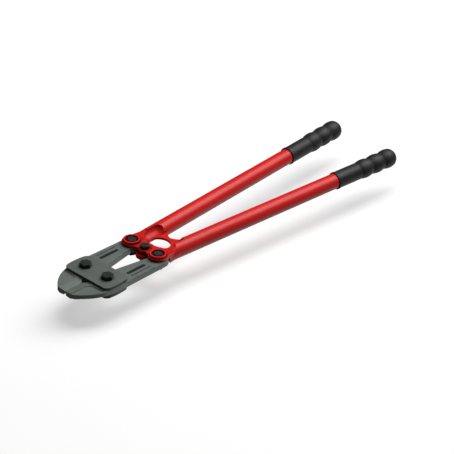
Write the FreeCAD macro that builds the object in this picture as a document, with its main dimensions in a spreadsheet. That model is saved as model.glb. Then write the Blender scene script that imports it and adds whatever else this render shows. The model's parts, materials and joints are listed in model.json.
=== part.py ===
import FreeCAD, Part
import math
import os
import Sketcher

# Bolt cutters with tubular handles, jaws closed.  Millimetres, +Z up, jaws toward -X.
# "right" is the +Y handle and jaw, "left" the -Y ones.  Sketches are drawn about the centre
# pivot; every piece is then shifted so that the closed tool is centred on the frame origin.

os.makedirs("parts", exist_ok=True)
doc = FreeCAD.newDocument("bolt_cutters")
V = FreeCAD.Vector
UP = V(0, 0, 1)

# ---------------------------------------------------------------- driving dimensions
SIZES = {
    "shift_along": -149.893,        # centre pivot to frame origin
    # levels above the rest plane
    "cover_bottom": 5.0, "cover_thick": 4.0, "jaw_bottom": 9.1, "jaw_thick": 9.0,
    "cover_top_level": 18.2, "ear_bottom": 18.2, "ear_top": 22.4, "collar_top": 25.7,
    "body_bottom": 8.9, "lap_level": 15.6, "lap_gap": 0.1, "axis_level": 15.6,
    # pivots
    "jaw_pivot_back": 96.0, "jaw_pivot_side": 22.8, "ear_pivot_side": 27.6,
    # cover plates
    "cover_front": 118.0, "cover_rear": 71.5, "cover_half_width": 45.4,
    # jaws
    "jaw_tip": 158.0, "seam_gap": 0.1, "relief_radius": 5.5, "relief_back": 117.5,
    "tail_hole": 6.5, "tail_radius": 15.2, "tail_neck_radius": 11.6, "facet_width": 12.6,
    "dish_depth": 0.9, "facet_drop": 1.1, "edge_drop": 3.0, "edge_width": 2.1,
    "nose_chamfer": 1.8, "panel_depth": 0.5,
    # handle heads
    "ear_radius": 14.6, "collar_radius": 12.5, "recess_radius": 9.75, "recess_depth": 5.3,
    "upper_eye_radius": 9.6, "lower_eye_radius": 13.4, "lap_clear": 0.5, "seat_radius": 16.3,
    "web_thick": 3.6, "opening_long": 17.0, "opening_short": 14.2, "opening_at": 30.2,
    "horn_end": 50.5, "stop_gap": 0.1, "bowl_radius": 10.8,
    "bowl_start": 25.5, "bowl_end": 45.0,
    # handle tubes and grips, measured along the slanted axis
    "axis_offset": 24.6, "axis_angle": 4.2, "head_radius": 12.6, "weld_at": 74.0,
    "spigot_length": 22.0, "tube_wall": 1.8, "tube_thin_radius": 11.75, "grip_start": 341.0,
    "grip_length": 118.0, "grip_radius": 12.8, "bulge_radius": 14.3, "sleeve_length": 45.5,
    "end_bulge_length": 27.0, "groove_radius": 12.1, "tube_in_grip": 104.0,
    # fasteners
    "large_shank": 5.0, "large_flats": 16.0, "large_head": 6.4, "large_nut": 5.0,
    "small_shank": 4.0, "small_flats": 13.0, "small_head": 5.3, "small_nut": 6.4,
    "washer_radius": 9.0, "washer_thick": 1.5, "centre_washer_radius": 8.0,
    "running_clear": 0.06,
}
sheet = doc.addObject("Spreadsheet::Sheet", "Sizes")
for row, (alias, value) in enumerate(SIZES.items(), start=1):
    sheet.set("A%d" % row, alias.replace("_", " "))
    sheet.set("B%d" % row, str(value))
    sheet.setAlias("B%d" % row, alias)
doc.recompute()


def size(alias):
    return float(sheet.get(alias))


def cell(alias):
    return "Sizes." + alias


# ---------------------------------------------------------------- drawing helpers
def new_body(label, turned=0, sideways=0, raised=False):
    """A body placed in the tool; turned = +1 or -1 lays its X axis along a handle."""
    body = doc.addObject("PartDesign::Body", label)
    body.Label = label
    if turned:
        body.Placement = FreeCAD.Placement(V(0, 0, 0), FreeCAD.Rotation(UP, turned * 1.0))
        body.setExpression("Placement.Rotation.Angle", cell("axis_angle") + " * 1 deg")
        body.Placement.Rotation.Axis = V(0, 0, turned)
    body.setExpression("Placement.Base.x", cell("shift_along"))
    if sideways:
        body.setExpression("Placement.Base.y", "%d * %s" % (sideways, cell("axis_offset")))
    if raised:
        body.setExpression("Placement.Base.z", cell("axis_level"))
    return body


def new_sketch(body, name, role, height, turn=0.0):
    """A sketch on one of the body's own planes, lifted along its normal by an expression."""
    sketch = body.newObject("Sketcher::SketchObject", name)
    plane = [f for f in body.Origin.OriginFeatures if f.Role == role][0]
    sketch.AttachmentSupport = [(plane, "")]
    sketch.MapMode = "FlatFace"
    sketch.AttachmentOffset = FreeCAD.Placement(V(0, 0, 0), FreeCAD.Rotation(V(0, 1, 0), turn))
    sketch.setExpression("AttachmentOffset.Base.z", height)
    return sketch


def arc_between(start, through, end):
    """A counter-clockwise sketch arc, and whether it runs against the direction of travel."""
    circle = Part.Arc(start, through, end).toShape().Curve
    centre, radius = circle.Center, circle.Radius
    angles = [math.atan2(p.y - centre.y, p.x - centre.x) for p in (start, through, end)]
    full = 2 * math.pi
    ahead = (angles[1] - angles[0]) % full < (angles[2] - angles[0]) % full
    first, last = (angles[0], angles[2]) if ahead else (angles[2], angles[0])
    if last < first:
        last += full
    return Part.ArcOfCircle(Part.Circle(centre, UP, radius), first, last), not ahead


def draw_outline(sketch, start, moves):
    """A closed outline: each move is (end,) for a straight or (through, end) for an arc."""
    here = V(*start)
    ends = []
    for move in moves:
        target = V(*move[-1])
        backwards = False
        if len(move) == 1:
            piece = Part.LineSegment(here, target)
        else:
            piece, backwards = arc_between(here, V(*move[0]), target)
        index = sketch.addGeometry(piece, False)
        ends.append((index, 2, 1) if backwards else (index, 1, 2))
        here = target
    for (index, _, leave), (following, enter, _) in zip(ends, ends[1:] + ends[:1]):
        sketch.addConstraint(Sketcher.Constraint("Coincident", index, leave, following, enter))


def draw_circle(sketch, centre, alias, extra=""):
    radius = size(alias)
    index = sketch.addGeometry(Part.Circle(V(centre[0], centre[1], 0), UP, radius), False)
    bound = sketch.addConstraint(Sketcher.Constraint("Radius", index, radius))
    sketch.setExpression("Constraints[%d]" % bound, cell(alias) + extra)


def draw_hexagon(sketch, centre, alias):
    reach = size(alias) / math.sqrt(3)
    corners = []
    for corner in range(6):
        angle = math.radians(60 * corner + 30)
        corners.append((centre[0] + reach * math.cos(angle), centre[1] + reach * math.sin(angle)))
    draw_outline(sketch, corners[-1] + (0,), [(corner + (0,),) for corner in corners])


def pad(body, sketch, length):
    doc.recompute()
    before = body.Shape.Volume if body.Tip else 0.0
    feature = body.newObject("PartDesign::Pad", sketch.Name + "_pad")
    feature.Profile = sketch
    feature.setExpression("Length", length)
    doc.recompute()
    if not body.Shape.Volume > before:
        raise RuntimeError(sketch.Name + " adds nothing")
    return feature


def pocket(body, sketch, length=None, both_ways=False):
    doc.recompute()
    before = body.Shape.Volume
    feature = body.newObject("PartDesign::Pocket", sketch.Name + "_cut")
    feature.Profile = sketch
    if length is None:
        feature.Type = "ThroughAll"
        feature.Reversed = True
    else:
        feature.setExpression("Length", length)
    if both_ways:
        feature.SideType = "Symmetric"
    doc.recompute()
    if not body.Shape.Volume < before:
        raise RuntimeError(sketch.Name + " cuts nothing")
    return feature


def groove(body, sketch, backwards):
    doc.recompute()
    before = body.Shape.Volume
    feature = body.newObject("PartDesign::Groove", sketch.Name + "_turned")
    feature.Profile = sketch
    feature.ReferenceAxis = (sketch, ["Axis0"])
    feature.Angle = 180
    feature.Reversed = backwards
    doc.recompute()
    if not body.Shape.Volume < before - 1.0:
        raise RuntimeError(sketch.Name + " cuts nothing")
    return feature


def chamfer(body, distance, wanted):
    doc.recompute()
    base = body.Tip
    edges = []
    for number, edge in enumerate(base.Shape.Edges, start=1):
        middle = edge.valueAt((edge.FirstParameter + edge.LastParameter) / 2)
        if wanted(edge, middle):
            edges.append("Edge%d" % number)
    feature = body.newObject("PartDesign::Chamfer", body.Name + "_bevel")
    feature.Base = (base, edges)
    feature.setExpression("Size", distance)
    doc.recompute()
    if "Invalid" in feature.State:
        raise RuntimeError("%s: bevel over %d edges failed" % (body.Name, len(edges)))
    return feature


# ---------------------------------------------------------------- shared positions
jaw_pivot_x = -size("jaw_pivot_back")
slope = math.tan(math.radians(size("axis_angle")))
jaw_top = size("jaw_bottom") + size("jaw_thick")
LINE = cell("axis_level")


def axis_side(along):
    return size("axis_offset") + along * slope


# ---------------------------------------------------------------- cover plates
def cover_plate(label, bottom):
    front = -size("cover_front")
    rear = -size("cover_rear")
    half = size("cover_half_width")
    shoulder = half - 6.5
    body = new_body(label)
    sketch = new_sketch(body, label + "_outline", "XY_Plane", bottom)
    draw_outline(sketch, (front, -shoulder, 0), [
        ((front, shoulder, 0),),
        ((front + 3.0, half - 2.6, 0), (front + 9.0, half - 0.6, 0)),
        ((front + 21.0, half, 0), (rear - 12.0, half - 1.2, 0)),
        ((rear - 3.4, half - 4.6, 0), (rear, half - 13.0, 0)),
        ((rear, 13.0 - half, 0),),
        ((rear - 3.4, 4.6 - half, 0), (rear - 12.0, 1.2 - half, 0)),
        ((front + 21.0, -half, 0), (front + 9.0, 0.6 - half, 0)),
        ((front + 3.0, 2.6 - half, 0), (front, -shoulder, 0)),
    ])
    pad(body, sketch, cell("cover_thick"))
    holes = new_sketch(body, label + "_holes", "XY_Plane", bottom)
    for side in (-1, 1):
        draw_circle(holes, (jaw_pivot_x, side * size("jaw_pivot_side")), "large_shank")
    pocket(body, holes)


cover_plate("bottom_link_plate", cell("cover_bottom"))
cover_plate("top_link_plate", cell("cover_top_level"))


# ---------------------------------------------------------------- jaws
def jaw(label, side):
    tip = -size("jaw_tip")
    seam = size("seam_gap")
    half = size("cover_half_width")
    pivot = size("ear_pivot_side")
    wide = size("tail_radius")
    narrow = size("tail_neck_radius")
    body = new_body(label)

    def at(x, y):
        return (x, side * y, 0)

    def round_tail(radius, degrees):
        angle = math.radians(degrees)
        return at(radius * math.cos(angle), pivot + radius * math.sin(angle))

    outline = new_sketch(body, label + "_outline", "XY_Plane", cell("jaw_bottom"))
    notch = 2.2
    draw_outline(outline, at(tip + notch, seam), [
        (at(tip, notch),),
        (at(tip, 9.5),),
        (at(tip + 1.2, 15.0), at(tip + 5.0, 20.5)),
        (at(tip + 20.5, 34.2), at(tip + 40.0, half - 1.8)),
        (at(jaw_pivot_x, half), at(-80.0, half - 0.6)),
        (round_tail(wide, 90.0),),
        (round_tail(wide, 50.0), round_tail(wide, 10.0)),
        (round_tail(narrow, -22.0),),
        (round_tail(narrow, -80.0), round_tail(narrow, -138.0)),
        (at(-15.0, 17.7),),
        (at(-66.0, 8.6),),
        (at(jaw_pivot_x - 2.0, seam),),
        (at(tip + notch, seam),),
    ])
    pad(body, outline, cell("jaw_thick"))

    def on_nose(edge, middle):
        level = abs(edge.BoundBox.ZLength) < 0.01
        outside = side * middle.y > 17.0 and middle.x < -size("cover_front") + 2.0
        return level and outside

    chamfer(body, cell("nose_chamfer"), on_nose)

    # ground strip beside the seam, sloping to the cutting edge, and a dished outer nose
    for name, face, into in (("upper", jaw_top, -1), ("lower", size("jaw_bottom"), 1)):
        facet = new_sketch(body, "%s_%s_facet" % (label, name), "YZ_Plane",
                           "-" + cell("relief_back"))
        low = face + into * size("facet_drop")
        edge = low + into * size("edge_drop") * 0.7
        draw_outline(facet, (side * size("facet_width"), face, 0), [
            ((side * size("edge_width"), low, 0),),
            ((side * seam, edge, 0),),
            ((-side, edge, 0),),
            ((-side, face - into * 2.0, 0),),
            ((side * size("facet_width"), face - into * 2.0, 0),),
            ((side * size("facet_width"), face, 0),),
        ])
        pocket(body, facet, cell("jaw_tip") + " - " + cell("relief_back") + " + 6")

        height = cell("jaw_thick") if into < 0 else cell("dish_depth")
        dish = new_sketch(body, "%s_%s_dish" % (label, name), "XY_Plane",
                          "%s + %s" % (cell("jaw_bottom"), height))
        front = -size("cover_front")
        inner = size("facet_width")
        draw_outline(dish, at(tip - 2.0, inner), [
            (at(front - 13.0, inner),),
            (at(front - 7.0, inner + 2.2), at(front - 3.6, inner + 9.0)),
            (at(front - 1.2, half + 2.0),),
            (at(tip - 2.0, half + 2.0),),
            (at(tip - 2.0, inner),),
        ])
        pocket(body, dish, cell("dish_depth"))

    # plain recessed panels on the tail
    panels = new_sketch(body, label + "_panels", "XY_Plane",
                        "%s + %s" % (cell("jaw_bottom"), cell("jaw_thick")))
    for low, high, left, right in ((36.2, 37.8, -62.0, -25.0), (25.5, 31.5, -60.0, -30.0)):
        draw_outline(panels, at(left, low), [
            (at(right, low),),
            (at(right + (high - low) / 2, (low + high) / 2), at(right, high)),
            (at(left, high),),
            (at(left - (high - low) / 2, (low + high) / 2), at(left, low)),
        ])
    pocket(body, panels, cell("panel_depth"))

    holes = new_sketch(body, label + "_bores", "XY_Plane", cell("jaw_bottom"))
    draw_circle(holes, (jaw_pivot_x, side * size("jaw_pivot_side")), "large_shank",
                " + " + cell("running_clear"))
    draw_circle(holes, (0.0, side * pivot), "tail_hole")
    pocket(body, holes)
    relief = new_sketch(body, label + "_relief", "XY_Plane", cell("jaw_bottom"))
    draw_circle(relief, (-size("relief_back"), 0.0), "relief_radius")
    pocket(body, relief)


jaw("right_jaw", 1)
jaw("left_jaw", -1)


# ---------------------------------------------------------------- handle heads
def handle_head(label, side):
    """Forged head: ear over the jaw tail, lapped centre eye, web, scoop and tube spigot."""
    pivot = size("ear_pivot_side")
    top = cell("ear_top")
    bottom = cell("body_bottom")
    slant = side * size("axis_angle")
    weld = "%s / cos(%s * 1 deg)" % (cell("weld_at"), cell("axis_angle"))
    body = new_body(label)

    def at(x, y):
        return (x, side * y, 0)

    def from_ear(radius, degrees):
        angle = math.radians(degrees)
        return at(radius * math.cos(angle), pivot + radius * math.sin(angle))

    # round stub of the handle, on the slanted axis
    stub_front = 10.0
    stub = new_sketch(body, label + "_stub", "YZ_Plane", "0", slant)
    stub.AttachmentOffset = FreeCAD.Placement(
        V(side * axis_side(stub_front), 0, stub_front), FreeCAD.Rotation(V(0, 1, 0), slant))
    draw_circle(stub, (0.0, size("axis_level")), "head_radius")
    stub.setExpression("AttachmentOffset.Base.z", "10")
    stub.setExpression("AttachmentOffset.Base.x",
                       "%d * (%s + 10 * tan(%s * 1 deg))" % (side, cell("axis_offset"), cell("axis_angle")))
    pad(body, stub, "(%s - 10) / cos(%s * 1 deg)" % (cell("weld_at"), cell("axis_angle")))

    # the stub thins toward the ear, above and below
    for name, up in (("crown", 1), ("keel", -1)):
        level = size("axis_level")
        ear_reach = 6.8
        slice_off = new_sketch(body, "%s_%s" % (label, name), "XZ_Plane", "0")
        draw_outline(slice_off, (0.0, level + up * ear_reach, 0), [
            ((13.0, level + up * ear_reach, 0),),
            ((30.0, level + up * 10.4, 0),),
            ((36.0, level + up * 16.0, 0),),
            ((0.0, level + up * 16.0, 0),),
            ((0.0, level + up * ear_reach, 0),),
        ])
        pocket(body, slice_off, "160", both_ways=True)

    # thin web round the opening, ending in the horn that stops the closing stroke
    web = new_sketch(body, label + "_web", "XY_Plane", "%s - %s / 2" % (LINE, cell("web_thick")))
    gap = size("stop_gap")
    horn = size("horn_end")
    draw_outline(web, at(9.0, gap), [
        (at(horn, gap),),
        (at(horn + 2.6, 6.4), at(horn + 12.0, 16.5)),
        (at(horn + 12.0, axis_side(horn + 12.0)),),
        (at(16.0, axis_side(16.0)),),
        (at(9.0, 14.0),),
        (at(9.0, gap),),
    ])
    pad(body, web, cell("web_thick"))

    # full-depth block between ear, eye and scoop
    block = new_sketch(body, label + "_block", "XY_Plane", bottom)
    draw_outline(block, at(14.5, gap), [
        (at(14.8, 9.0), at(17.5, 16.0)),
        (at(21.0, 23.5), at(28.5, 32.5)),
        (at(27.5, 37.3),),
        (at(12.0, 39.8),),
        (at(0.0, pivot + size("ear_radius")),),
        (from_ear(size("ear_radius"), 150.0), from_ear(size("ear_radius"), 212.0)),
        (at(-7.6, 12.5), at(-6.8, 7.6)),
        (at(0.0, gap),),
        (at(14.5, gap),),
    ])
    pad(body, block, "%s - %s" % (top, bottom))

    # seat for the jaw tail, opened on the outside for its swing
    seat = new_sketch(body, label + "_seat", "XY_Plane", cell("ear_bottom"))
    draw_circle(seat, (0.0, side * pivot), "seat_radius")
    pocket(body, seat, "30")
    swing = new_sketch(body, label + "_swing", "XY_Plane", cell("ear_bottom"))
    start = from_ear(size("seat_radius"), 35.0)
    lean = math.radians(35.0)
    away = 34.0
    far = (start[0] - away * math.sin(lean), start[1] + side * away * math.cos(lean), 0)
    draw_outline(swing, start, [
        (far,),
        (at(-40.0, abs(far[1])),),
        (at(-40.0, pivot - 11.0),),
        (at(0.0, pivot - 11.0),),
        (start,),
    ])
    pocket(body, swing, "30")

    # centre eye: the right one laps over the left one
    lower = side < 0
    own = "lower_eye_radius" if lower else "upper_eye_radius"
    other = "upper_eye_radius" if lower else "lower_eye_radius"
    half_lap = "%s / 2" % cell("lap_gap")
    clear = new_sketch(body, label + "_lap_clearance", "XY_Plane",
                       top if lower else "%s + %s" % (cell("lap_level"), half_lap))
    draw_circle(clear, (0.0, 0.0), other, " + " + cell("lap_clear"))
    pocket(body, clear, "%s - %s + %s" % (top, cell("lap_level"), half_lap) if lower
           else "%s - %s + %s" % (cell("lap_level"), bottom, half_lap))
    eye = new_sketch(body, label + "_eye", "XY_Plane",
                     bottom if lower else "%s + %s" % (cell("lap_level"), half_lap))
    draw_circle(eye, (0.0, 0.0), own)
    pad(body, eye, "%s - %s - %s" % (cell("lap_level"), bottom, half_lap) if lower
        else "%s - %s - %s" % (top, cell("lap_level"), half_lap))

    # ear disc and the raised collar round the recessed bolt head
    ear = new_sketch(body, label + "_ear", "XY_Plane", cell("ear_bottom"))
    draw_circle(ear, (0.0, side * pivot), "ear_radius")
    pad(body, ear, "%s - %s" % (top, cell("ear_bottom")))
    collar = new_sketch(body, label + "_collar", "XY_Plane", top)
    draw_circle(collar, (0.0, side * pivot), "collar_radius")
    pad(body, collar, "%s - %s" % (cell("collar_top"), top))

    # shared opening behind the centre pivot
    opening = new_sketch(body, label + "_opening", "XY_Plane", bottom)
    ellipse = Part.Ellipse(V(size("opening_at"), size("opening_long"), 0),
                           V(size("opening_at") - size("opening_short"), 0, 0),
                           V(size("opening_at"), 0, 0))
    opening.addGeometry(ellipse, False)
    pocket(body, opening)

    recess = new_sketch(body, label + "_recess", "XY_Plane", cell("collar_top"))
    draw_circle(recess, (0.0, side * pivot), "recess_radius")
    pocket(body, recess, cell("recess_depth"))
    bores = new_sketch(body, label + "_bores", "XY_Plane", bottom)
    draw_circle(bores, (0.0, side * pivot), "small_shank")
    draw_circle(bores, (0.0, 0.0), "small_shank", " + " + cell("running_clear"))
    pocket(body, bores)

    # spigot inside the tube
    spigot = new_sketch(body, label + "_spigot", "YZ_Plane", cell("weld_at"), slant)
    spigot.setExpression("AttachmentOffset.Base.x", "%d * (%s + %s * tan(%s * 1 deg))" % (
        side, cell("axis_offset"), cell("weld_at"), cell("axis_angle")))
    index = spigot.addGeometry(Part.Circle(V(0, size("axis_level"), 0), UP, 10.6), False)
    bound = spigot.addConstraint(Sketcher.Constraint("Radius", index, 10.6))
    spigot.setExpression("Constraints[%d]" % bound,
                         "%s - %s - 0.2" % (cell("head_radius"), cell("tube_wall")))
    pad(body, spigot, cell("spigot_length"))

    # rounded bowl on both faces: a trough from the crown down to the web, turned at its ends
    hollow = size("bowl_radius")
    reach = 0.6
    turn = math.sqrt(0.5)
    level = size("axis_level")
    for name, up in (("top", 1), ("under", -1)):
        floor = level + up * size("web_thick") / 2
        rim = floor + up * hollow
        over = level + up * 16.0
        through = (side * (reach - hollow * (1 - turn)), floor + up * hollow * (1 - turn), 0)
        for place in ("bowl_end", "bowl_start"):
            for part, inner in (("trough", -30.0), ("ball", reach - hollow)):
                if part == "trough" and place == "bowl_start":
                    continue
                cut = new_sketch(body, "%s_%s_%s_%s" % (label, place, part, name), "YZ_Plane", "0", slant)
                cut.setExpression("AttachmentOffset.Base.z", cell(place))
                cut.setExpression("AttachmentOffset.Base.x", "%d * (%s + %s * tan(%s * 1 deg))" % (
                    side, cell("axis_offset"), cell(place), cell("axis_angle")))
                moves = [(through, (side * (reach - hollow), floor, 0))]
                if part == "trough":
                    moves.append(((side * inner, floor, 0),))
                moves += [((side * inner, over, 0),), ((side * reach, over, 0),), ((side * reach, rim, 0),)]
                draw_outline(cut, (side * reach, rim, 0), moves)
                if part == "trough":
                    pocket(body, cut, "(%s - %s) / cos(%s * 1 deg)" % (
                        cell("bowl_end"), cell("bowl_start"), cell("axis_angle")))
                else:
                    cut.addGeometry(Part.LineSegment(V(side * inner, 0, 0), V(side * inner, 10, 0)), True)
                    groove(body, cut, (side > 0) == (place == "bowl_end"))


handle_head("right_handle_head", 1)
handle_head("left_handle_head", -1)


# ---------------------------------------------------------------- turned pieces of the handles
def turned_piece(label, side, moves, start):
    body = new_body(label, turned=side, sideways=side, raised=True)
    sketch = new_sketch(body, label + "_profile", "XZ_Plane", "0")
    draw_outline(sketch, start, moves)
    doc.recompute()
    feature = body.newObject("PartDesign::Revolution", label + "_turned")
    feature.Profile = sketch
    feature.ReferenceAxis = (sketch, ["H_Axis"])
    feature.Angle = 360.0
    doc.recompute()


def handle_tube(label, side):
    thick = size("head_radius")
    thin = size("tube_thin_radius")
    wall = size("tube_wall")
    weld = size("weld_at") / math.cos(math.radians(size("axis_angle")))
    start = size("grip_start")
    end = start + size("tube_in_grip")
    turned_piece(label, side, [
        ((start - 6.0, thin, 0),),
        ((end, thin, 0),),
        ((end, thin - wall, 0),),
        ((start - 6.0, thin - wall, 0),),
        ((weld, thick - wall, 0),),
        ((weld, thick, 0),),
    ], (weld, thick, 0))


def handle_grip(label, side):
    start = size("grip_start")
    end = start + size("grip_length")
    thin = size("tube_thin_radius")
    plain = size("grip_radius")
    bulge = size("bulge_radius")
    groove = size("groove_radius")
    first = start + size("sleeve_length")
    last = end - size("end_bulge_length")
    middle = (first + last) / 2
    moves = [((start, plain + 0.1, 0),), ((start + 0.5, plain + 0.6, 0),)]
    moves.append(((start + 3.0, plain + 0.6, 0),))
    moves.append(((start + 3.6, plain, 0),))
    moves.append(((first - 2.0, plain, 0),))
    moves.append(((first, groove, 0),))
    for left, right in ((first, middle), (middle, last)):
        moves.append((((left + right) / 2, bulge, 0), (right, groove, 0)))
    moves.append(((last + 9.0, bulge + 0.1, 0), (end - 8.0, bulge - 1.3, 0)))
    moves.append(((end - 1.9, bulge - 7.3, 0), (end, 0.0, 0)))
    inside = start + size("tube_in_grip")
    moves.append(((inside, 0.0, 0),))
    moves.append(((inside, thin, 0),))
    moves.append(((start, thin, 0),))
    turned_piece(label, side, moves, (start, thin, 0))


for name, side in (("right", 1), ("left", -1)):
    handle_tube(name + "_handle_tube", side)
    handle_grip(name + "_grip", side)


# ---------------------------------------------------------------- fasteners
def bolt(label, centre, flats, head_bottom, head, shank, foot):
    body = new_body(label)
    hexagon = new_sketch(body, label + "_hexagon", "XY_Plane", head_bottom)
    draw_hexagon(hexagon, centre, flats)
    pad(body, hexagon, cell(head))
    chamfer(body, "0.6", lambda edge, middle: abs(edge.BoundBox.ZLength) < 0.01
            and middle.z > body.Shape.BoundBox.ZMax - 0.1)
    stem = new_sketch(body, label + "_shank", "XY_Plane", foot)
    draw_circle(stem, centre, shank)
    pad(body, stem, "%s - (%s)" % (head_bottom, foot))


def nut(label, centre, flats, bottom, height, shank):
    body = new_body(label)
    hexagon = new_sketch(body, label + "_hexagon", "XY_Plane", bottom)
    draw_hexagon(hexagon, centre, flats)
    pad(body, hexagon, cell(height))
    hole = new_sketch(body, label + "_thread", "XY_Plane", bottom)
    draw_circle(hole, centre, shank)
    pocket(body, hole)


def washer(label, centre, radius, bottom, shank):
    body = new_body(label)
    ring = new_sketch(body, label + "_ring", "XY_Plane", bottom)
    draw_circle(ring, centre, radius)
    draw_circle(ring, centre, shank)
    pad(body, ring, cell("washer_thick"))


for name, side in (("right", 1), ("left", -1)):
    front = (jaw_pivot_x, side * size("jaw_pivot_side"))
    rear = (0.0, side * size("ear_pivot_side"))
    bolt(name + "_jaw_pivot_bolt", front, "large_flats",
         "%s + %s" % (cell("cover_top_level"), cell("cover_thick")), "large_head", "large_shank", "0.4")
    nut(name + "_jaw_pivot_nut", front, "large_flats",
        "%s - %s" % (cell("cover_bottom"), cell("large_nut")), "large_nut", "large_shank")
    bolt(name + "_handle_pivot_bolt", rear, "small_flats",
         "%s - %s" % (cell("collar_top"), cell("recess_depth")), "small_head", "small_shank", "1.2")
    washer_low = "%s - 0.1 - %s" % (cell("jaw_bottom"), cell("washer_thick"))
    washer(name + "_handle_pivot_washer", rear, "washer_radius", washer_low, "small_shank")
    nut(name + "_handle_pivot_nut", rear, "small_flats",
        "%s - %s" % (washer_low, cell("small_nut")), "small_nut", "small_shank")

bolt("centre_pivot_bolt", (0.0, 0.0), "small_flats", cell("ear_top") + " + 0.1", "small_head",
     "small_shank", "1.0")
centre_low = "%s - 0.1 - %s" % (cell("body_bottom"), cell("washer_thick"))
washer("centre_pivot_washer", (0.0, 0.0), "centre_washer_radius", centre_low, "small_shank")
nut("centre_pivot_nut", (0.0, 0.0), "small_flats", "%s - %s" % (centre_low, cell("small_nut")),
    "small_nut", "small_shank")

# ---------------------------------------------------------------- check and write
doc.recompute()
for item in doc.Objects:
    if "Invalid" in item.State or "Error" in item.State:
        raise RuntimeError("%s did not compute: %s" % (item.Name, item.State))
pieces = [item for item in doc.Objects if item.TypeId == "PartDesign::Body"]
whole = FreeCAD.BoundBox()
for piece in pieces:
    shape = piece.Shape
    if shape.isNull() or not shape.isValid() or len(shape.Solids) != 1:
        raise RuntimeError("%s is not one valid solid" % piece.Label)
    whole.add(shape.BoundBox)
    shape.exportStep("parts/%s.step" % piece.Label)
print(len(pieces), "pieces", whole)
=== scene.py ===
import json
import math

import bmesh
import bpy
from mathutils import Matrix, Vector


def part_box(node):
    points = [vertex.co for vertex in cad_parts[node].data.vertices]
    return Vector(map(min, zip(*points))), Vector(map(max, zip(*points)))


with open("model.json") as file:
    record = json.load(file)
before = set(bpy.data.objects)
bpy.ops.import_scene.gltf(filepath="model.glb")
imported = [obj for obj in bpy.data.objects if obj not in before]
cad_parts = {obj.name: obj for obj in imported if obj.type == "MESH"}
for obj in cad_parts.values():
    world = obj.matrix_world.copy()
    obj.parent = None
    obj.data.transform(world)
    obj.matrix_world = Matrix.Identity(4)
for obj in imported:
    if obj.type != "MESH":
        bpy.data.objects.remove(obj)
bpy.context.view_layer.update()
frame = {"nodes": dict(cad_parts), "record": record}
nodes = frame["nodes"]


# ------------------------------------------------------------------ materials
def material(name):
    """A new material, with its node tree and its Principled shader."""
    mat = bpy.data.materials.new(name)
    mat.use_nodes = True
    tree = mat.node_tree
    shader = tree.nodes["Principled BSDF"]
    return mat, tree, shader


def coordinates(tree):
    where = tree.nodes.new("ShaderNodeTexCoord")
    return where.outputs["Object"]


def math_node(tree, operation, first, second):
    """A Math node whose inputs are sockets or plain numbers."""
    node = tree.nodes.new("ShaderNodeMath")
    node.operation = operation
    for socket, value in zip(node.inputs, (first, second)):
        if isinstance(value, (int, float)):
            socket.default_value = value
        elif value is not None:
            tree.links.new(value, socket)
    return node.outputs["Value"]


def noise(tree, vector, scale, detail=4.0, roughness=0.6):
    node = tree.nodes.new("ShaderNodeTexNoise")
    node.inputs["Scale"].default_value = scale
    node.inputs["Detail"].default_value = detail
    node.inputs["Roughness"].default_value = roughness
    tree.links.new(vector, node.inputs["Vector"])
    return node.outputs["Fac"]


def ramp(tree, factor, stops):
    node = tree.nodes.new("ShaderNodeValToRGB")
    ends = node.color_ramp.elements
    while len(ends) < len(stops):
        ends.new(0.5)
    for element, (place, colour) in zip(ends, stops):
        element.position = place
        element.color = tuple(colour) + (1.0,)
    tree.links.new(factor, node.inputs["Fac"])
    return node.outputs["Color"]


def spread(tree, factor, low, high, start=0.0, end=1.0):
    """Carry a factor from start..end over to low..high."""
    node = tree.nodes.new("ShaderNodeMapRange")
    node.inputs["From Min"].default_value = start
    node.inputs["From Max"].default_value = end
    node.inputs["To Min"].default_value = low
    node.inputs["To Max"].default_value = high
    tree.links.new(factor, node.inputs["Value"])
    return node.outputs["Result"]


def mixed(tree, factor, first, second):
    node = tree.nodes.new("ShaderNodeMix")
    node.data_type = "RGBA"
    tree.links.new(factor, node.inputs["Factor"])
    for socket, value in ((node.inputs["A"], first), (node.inputs["B"], second)):
        if isinstance(value, tuple):
            socket.default_value = value + (1.0,)
        else:
            tree.links.new(value, socket)
    return node.outputs["Result"]


def bump(tree, shader, height, strength, distance, soft_edge=0.0):
    node = tree.nodes.new("ShaderNodeBump")
    node.inputs["Strength"].default_value = strength
    node.inputs["Distance"].default_value = distance
    tree.links.new(height, node.inputs["Height"])
    if soft_edge:
        rounded = tree.nodes.new("ShaderNodeBevel")
        rounded.samples = 6
        rounded.inputs["Radius"].default_value = soft_edge
        tree.links.new(rounded.outputs["Normal"], node.inputs["Normal"])
    tree.links.new(node.outputs["Normal"], shader.inputs["Normal"])


def painted_shade_in_hollows(tree, reach, darkest, onset=0.35):
    """Painted shade in corners and recesses, darkest deep inside, 1 on open faces."""
    node = tree.nodes.new("ShaderNodeAmbientOcclusion")
    node.samples = 16
    node.inputs["Distance"].default_value = reach
    return spread(tree, node.outputs["AO"], darkest, 1.0, onset, 0.92)


def painted_shade_on_flanks(tree, dark):
    """Painted shade on upright faces: a factor, dark there, 1 on the level ones."""
    where = tree.nodes.new("ShaderNodeTexCoord")
    parts = tree.nodes.new("ShaderNodeSeparateXYZ")
    tree.links.new(where.outputs["Normal"], parts.inputs["Vector"])
    level = math_node(tree, "ABSOLUTE", parts.outputs["Z"], None)
    return spread(tree, level, dark, 1.0, 0.30, 0.75)


def times(tree, colour, factor):
    node = tree.nodes.new("ShaderNodeVectorMath")
    node.operation = "SCALE"
    tree.links.new(colour, node.inputs[0])
    tree.links.new(factor, node.inputs["Scale"])
    return node.outputs["Vector"]


def between(tree, value, low, high):
    """1 where the value lies between two bounds, else 0."""
    above = math_node(tree, "GREATER_THAN", value, low)
    below = math_node(tree, "LESS_THAN", value, high)
    return math_node(tree, "MULTIPLY", above, below)


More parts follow.
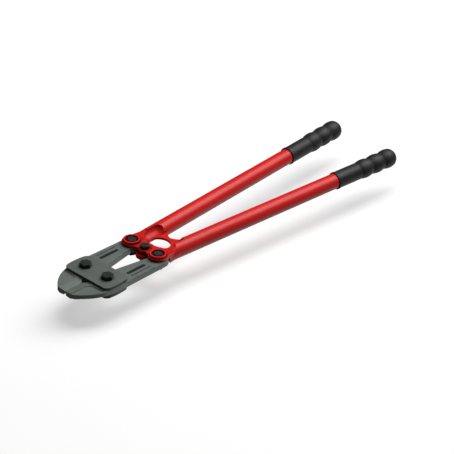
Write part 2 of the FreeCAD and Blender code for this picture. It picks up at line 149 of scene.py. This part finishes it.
def red_enamel():
    mat, tree, shader = material("red_enamel_look")
    place = coordinates(tree)
    cloud = noise(tree, place, 22.0, 3.0)
    paint = ramp(tree, cloud, [(0.30, (0.60, 0.0060, 0.0040)), (0.70, (0.68, 0.0095, 0.0065))])
    # painted shade: the paint colour is darkened in corners and recesses
    shade = painted_shade_in_hollows(tree, 0.024, 0.12, 0.58)
    tree.links.new(times(tree, paint, shade), shader.inputs["Base Color"])
    # recesses are duller than the open faces, so a lamp makes no glare spot inside them
    dull = spread(tree, shade, 1.0, 0.36, 0.74, 0.98)
    open_face = spread(tree, noise(tree, place, 160.0), 0.36, 0.48)
    tree.links.new(math_node(tree, "MAXIMUM", dull, open_face), shader.inputs["Roughness"])
    shader.inputs["Specular IOR Level"].default_value = 0.34
    shader.inputs["Coat Weight"].default_value = 0.20
    shader.inputs["Coat Roughness"].default_value = 0.24
    bump(tree, shader, noise(tree, place, 900.0, 2.0), 0.05, 0.0006, 0.0007)
    return mat


def forged_steel(name, dark, light, grain, side, marks=False):
    mat, tree, shader = material(name)
    place = coordinates(tree)
    cloud = noise(tree, place, 38.0, 5.0)
    speck = noise(tree, place, 1400.0, 3.0)
    tone = ramp(tree, cloud, [(0.32, dark), (0.68, light)])
    fleck = ramp(tree, speck, [(0.45, dark), (0.60, light)])
    blend = mixed(tree, spread(tree, speck, 0.15, 0.45), tone, fleck)
    # painted shade: darker in corners and recesses, and on upright faces by the given flank factor
    blend = times(tree, blend, painted_shade_in_hollows(tree, 0.007, 0.35))
    blend = times(tree, blend, painted_shade_on_flanks(tree, side))
    if marks:
        parts = tree.nodes.new("ShaderNodeSeparateXYZ")
        tree.links.new(place, parts.inputs["Vector"])
        sunk = between(tree, parts.outputs["Z"], PANEL_FLOOR - 0.0002, PANEL_FLOOR + 0.0002)
        tail = between(tree, parts.outputs["X"], PANEL_FRONT, PANEL_FRONT + 0.045)
        floors = math_node(tree, "MULTIPLY", sunk, tail)
        blend = mixed(tree, floors, blend, (0.030, 0.033, 0.032))
    tree.links.new(blend, shader.inputs["Base Color"])
    shader.inputs["Metallic"].default_value = 0.55
    tree.links.new(spread(tree, noise(tree, place, 210.0), 0.40, 0.58), shader.inputs["Roughness"])
    bump(tree, shader, noise(tree, place, grain, 4.0), 0.16, 0.0004, 0.0005)
    return mat


def black_oxide():
    mat, tree, shader = material("black_oxide_look")
    place = coordinates(tree)
    tone = ramp(tree, noise(tree, place, 260.0), [(0.35, (0.034, 0.039, 0.039)),
                                                  (0.70, (0.066, 0.073, 0.073))])
    # painted shade: the upright faces of the bolts are darker
    tone = times(tree, tone, painted_shade_on_flanks(tree, 0.30))
    tree.links.new(tone, shader.inputs["Base Color"])
    shader.inputs["Metallic"].default_value = 0.6
    tree.links.new(spread(tree, noise(tree, place, 500.0), 0.34, 0.5), shader.inputs["Roughness"])
    bump(tree, shader, noise(tree, place, 1200.0), 0.10, 0.0003, 0.0004)
    return mat


def grip_rubber():
    mat, tree, shader = material("grip_rubber_look")
    place = coordinates(tree)
    tone = ramp(tree, noise(tree, place, 60.0), [(0.35, (0.011, 0.011, 0.012)),
                                                 (0.70, (0.020, 0.020, 0.021))])
    # painted shade: darker in the creases between the bulges
    tone = times(tree, tone, painted_shade_in_hollows(tree, 0.010, 0.30, 0.60))
    tree.links.new(tone, shader.inputs["Base Color"])
    tree.links.new(spread(tree, noise(tree, place, 340.0), 0.44, 0.56), shader.inputs["Roughness"])
    shader.inputs["Specular IOR Level"].default_value = 0.48
    bump(tree, shader, noise(tree, place, 2600.0, 2.0), 0.22, 0.0003)
    return mat


# the recessed panels on the jaw tails: level of their floors and where they begin
jaw_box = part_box("right_jaw")
PANEL_FLOOR = jaw_box[1][2] - 0.0005
PANEL_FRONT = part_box("centre_pivot_bolt")[0][0] - 0.060
looks = {
    "red_enamel": red_enamel(),
    "jaw_steel": forged_steel("jaw_steel_look", (0.178, 0.205, 0.190), (0.242, 0.272, 0.252),
                              620.0, 1.0, True),
    "plate_steel": forged_steel("plate_steel_look", (0.154, 0.176, 0.163), (0.206, 0.232, 0.216),
                                900.0, 0.40),
    "black_oxide_steel": black_oxide(),
    "grip_rubber": grip_rubber(),
}
slots = {entry["node"]: entry["material_slot"] for entry in frame["record"]["subparts"]}
for name, piece in nodes.items():
    for holder in piece.material_slots:
        holder.material = looks[slots[name]]

# ------------------------------------------------------------------ stage
# the tool hovers a little, so that its soft shadow lies straight below and clear of it
FLOOR_DROP = 0.040
FLAT_RADIUS = 11.0
BEND_RADIUS = 2.0
WALL_HEIGHT = 10.0
FACETS = 96
# a flat round floor that bends up into a wall: rings of radius and height
rings = [(3.0, 0.0), (FLAT_RADIUS, 0.0)]
for degrees in range(10, 91, 10):
    angle = math.radians(degrees)
    rings.append((FLAT_RADIUS + BEND_RADIUS * math.sin(angle), BEND_RADIUS * (1.0 - math.cos(angle))))
rings.append((FLAT_RADIUS + BEND_RADIUS, WALL_HEIGHT))
form = bmesh.new()
spokes = [(math.cos(math.tau * k / FACETS), math.sin(math.tau * k / FACETS)) for k in range(FACETS)]
rows = [[form.verts.new((r * x, r * y, z)) for x, y in spokes] for r, z in rings]
hub = form.verts.new((0.0, 0.0, 0.0))
for k in range(FACETS):
    after = (k + 1) % FACETS
    form.faces.new((hub, rows[0][k], rows[0][after]))
    for low, high in zip(rows, rows[1:]):
        form.faces.new((low[k], high[k], high[after], low[after])).smooth = True
sweep = bpy.data.meshes.new("stage_floor")
form.to_mesh(sweep)
form.free()
floor = bpy.data.objects.new("stage_floor", sweep)
floor.location = (0.0, 0.0, -FLOOR_DROP)
bpy.context.collection.objects.link(floor)
floor_look, floor_tree, floor_shader = material("stage_floor_look")
tint = ramp(floor_tree, noise(floor_tree, coordinates(floor_tree), 3.0),
            [(0.4, (0.52, 0.52, 0.52)), (0.6, (0.53, 0.53, 0.53))])
floor_tree.links.new(tint, floor_shader.inputs["Base Color"])
floor_shader.inputs["Roughness"].default_value = 1.0
floor_shader.inputs["Specular IOR Level"].default_value = 0.0
floor_shader.inputs["Emission Color"].default_value = (1.0, 1.0, 1.0, 1.0)
floor_shader.inputs["Emission Strength"].default_value = 0.50
floor.data.materials.append(floor_look)
floor.visible_diffuse = False
floor.visible_glossy = False
floor.visible_shadow = False

# studio: dim all round, with one soft bounce from low on the right
world = bpy.data.worlds.new("studio")
world.use_nodes = True
sky = world.node_tree
background = sky.nodes["Background"]
ray = sky.nodes.new("ShaderNodeTexCoord")
facing = sky.nodes.new("ShaderNodeVectorMath")
facing.operation = "DOT_PRODUCT"
facing.inputs[1].default_value = Vector((0.55, -0.28, -0.79)).normalized()
sky.links.new(ray.outputs["Generated"], facing.inputs[0])
glow = sky.nodes.new("ShaderNodeMapRange")
glow.interpolation_type = "SMOOTHSTEP"
glow.inputs["From Min"].default_value = 0.66
glow.inputs["From Max"].default_value = 0.95
glow.inputs["To Min"].default_value = 0.095
glow.inputs["To Max"].default_value = 0.80
sky.links.new(facing.outputs["Value"], glow.inputs["Value"])
sky.links.new(glow.outputs["Result"], background.inputs["Strength"])
background.inputs["Color"].default_value = (1.0, 1.0, 1.0, 1.0)
bpy.context.scene.world = world
bpy.context.scene.view_settings.view_transform = "Standard"


def lamp(name, place, aim, reach, power):
    data = bpy.data.lights.new(name, "AREA")
    data.shape = "RECTANGLE"
    data.size, data.size_y = reach
    data.energy = power
    light = bpy.data.objects.new(name, data)
    bpy.context.collection.objects.link(light)
    light.location = place
    light.rotation_euler = (Vector(aim) - Vector(place)).to_track_quat("-Z", "Y").to_euler()
    return light


overhead = lamp("overhead", (0.0, 0.0, 2.5), (0, 0, 0), (1.4, 1.4), 34.0)
overhead.visible_glossy = False     # makes the shadow, and no glare on the level faces
lamp("key", (1.48, -0.36, 1.99), (0, 0, 0), (1.9, 1.9), 46.0)

# ------------------------------------------------------------------ camera
BEARING = math.radians(43.72)
RISE = math.radians(31.46)
AWAY = 7.351                    # metres from the camera to the centre pivot
FRAME_WIDTH = 454.0             # the picture's width, the unit of REACH and the aim below
REACH = AWAY * 694.0            # focal length in that unit
across = Vector((math.cos(BEARING), -math.sin(BEARING), 0.0))
into = Vector((math.sin(BEARING) * math.cos(RISE), math.cos(BEARING) * math.cos(RISE), -math.sin(RISE)))
upward = across.cross(into)
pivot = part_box("centre_pivot_bolt")
stand = Vector(((pivot[0][0] + pivot[1][0]) / 2, 0.0, 0.03429)) - into * AWAY
# the lens looks at the middle of the frame, right of and above the centre pivot
into = (into + across * (82.12 / REACH) + upward * (13.62 / REACH)).normalized()
across = (across - into * across.dot(into)).normalized()
upward = across.cross(into)
camera_data = bpy.data.cameras.new("photo_view")
camera = bpy.data.objects.new("photo_view", camera_data)
bpy.context.collection.objects.link(camera)
turn = Matrix((across, upward, -into)).transposed()
camera.matrix_world = Matrix.Translation(stand) @ turn.to_4x4()
camera_data.sensor_width = 36.0
camera_data.lens = camera_data.sensor_width * REACH / FRAME_WIDTH
camera_data.clip_end = 60.0
bpy.context.scene.camera = camera
